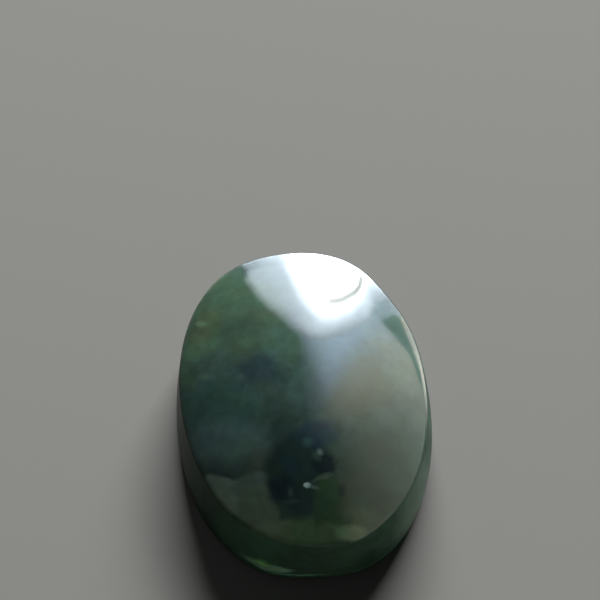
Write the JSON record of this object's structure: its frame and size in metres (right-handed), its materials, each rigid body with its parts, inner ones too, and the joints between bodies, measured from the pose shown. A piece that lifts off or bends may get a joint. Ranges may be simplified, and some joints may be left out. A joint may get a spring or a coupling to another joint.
{
  "type": "agate cabochon",
  "caption": "Oval cabochon of dark green translucent agate with a low polished dome, a leaning wall and a flat back to rest on.",
  "frame": {"origin": "centre of the flat back", "axes": "+Z out of the back towards the top of the dome, +Y along the oval's length, +X across it"},
  "size_m": [0.0144, 0.019, 0.0071],
  "materials": {
    "green_agate": "polished, translucent"
  },
  "bodies": {
    "root": {"stone": "green_agate"}
  },
  "joints": []
}
